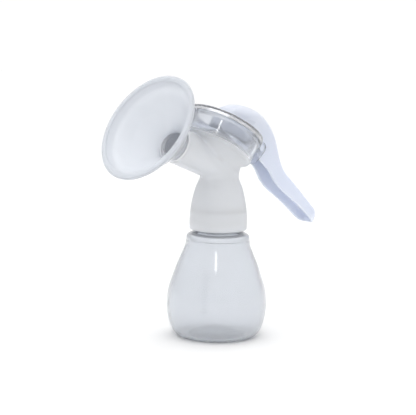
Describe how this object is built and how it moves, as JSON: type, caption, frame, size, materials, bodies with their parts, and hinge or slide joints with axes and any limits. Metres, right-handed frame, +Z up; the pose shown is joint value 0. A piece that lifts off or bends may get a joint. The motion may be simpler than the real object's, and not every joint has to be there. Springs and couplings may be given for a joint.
{
  "type": "manual breast pump",
  "caption": "Hand-operated pump with a padded funnel, a tilted diaphragm drum and a squeeze lever, screwed onto a pear-shaped milk bottle.",
  "frame": {"origin": "the bottle's axis, in the plane that the bottle stands on", "axes": "+Z up along the bottle's axis, +X towards the squeeze lever with the funnel at -X; XZ is the plane of symmetry"},
  "size_m": [0.1783, 0.0764, 0.1774],
  "materials": {
    "bottle_pp": "translucent blow-moulded polypropylene",
    "body_pp": "translucent injection-moulded polypropylene",
    "funnel_pp": "clear polypropylene",
    "soft_silicone": "soft clear silicone",
    "valve_silicone": "soft milky silicone",
    "handle_pp": "satin moulded polypropylene, white with a blue cast",
    "ring_pp": "clear polypropylene",
    "stem_pp": "moulded polypropylene, milky white"
  },
  "bodies": {
    "bottle": {"bottle": "bottle_pp"},
    "seal": {"bottle_seal": "valve_silicone"},
    "pump_body": {"pump_body": "body_pp", "clamp_ring": "ring_pp", "diaphragm": "soft_silicone", "duckbill_valve": "valve_silicone", "funnel": "funnel_pp", "funnel_seal": "valve_silicone", "cushion": "soft_silicone"},
    "lever": {"handle": "handle_pp"},
    "stem": {"diaphragm_stem": "stem_pp", "stem_lock": "stem_pp"}
  },
  "joints": [
    {"name": "unscrew_lift", "type": "slide", "parent": "bottle", "child": "seal", "axis": [0, 0, 1], "range_m": [0, 0.006]},
    {"name": "unscrew_turn", "type": "hinge", "parent": "seal", "child": "pump_body", "pos_m": [0, 0, 0.08], "axis": [0, 0, 1], "range_deg": [0, 540]},
    {"name": "lever_squeeze", "type": "hinge", "parent": "pump_body", "child": "lever", "pos_m": [0.03062, 0, 0.12757], "axis": [0, 1, 0], "range_deg": [0, 20.85], "stiffness_Nm_per_rad": 0.25, "springref_deg": -17.19},
    {"name": "stem_rise", "type": "slide", "parent": "pump_body", "child": "stem", "axis": [0.5299, 0, 0.848], "range_m": [0, 0.011], "deforming": ["diaphragm"]}
  ],
  "couplings": [
    {"joint": "unscrew_lift", "follows": "unscrew_turn", "m_per_rad": 0.00063662},
    {"joint": "stem_rise", "follows": "lever_squeeze", "m_per_rad": 0.030232}
  ]
}
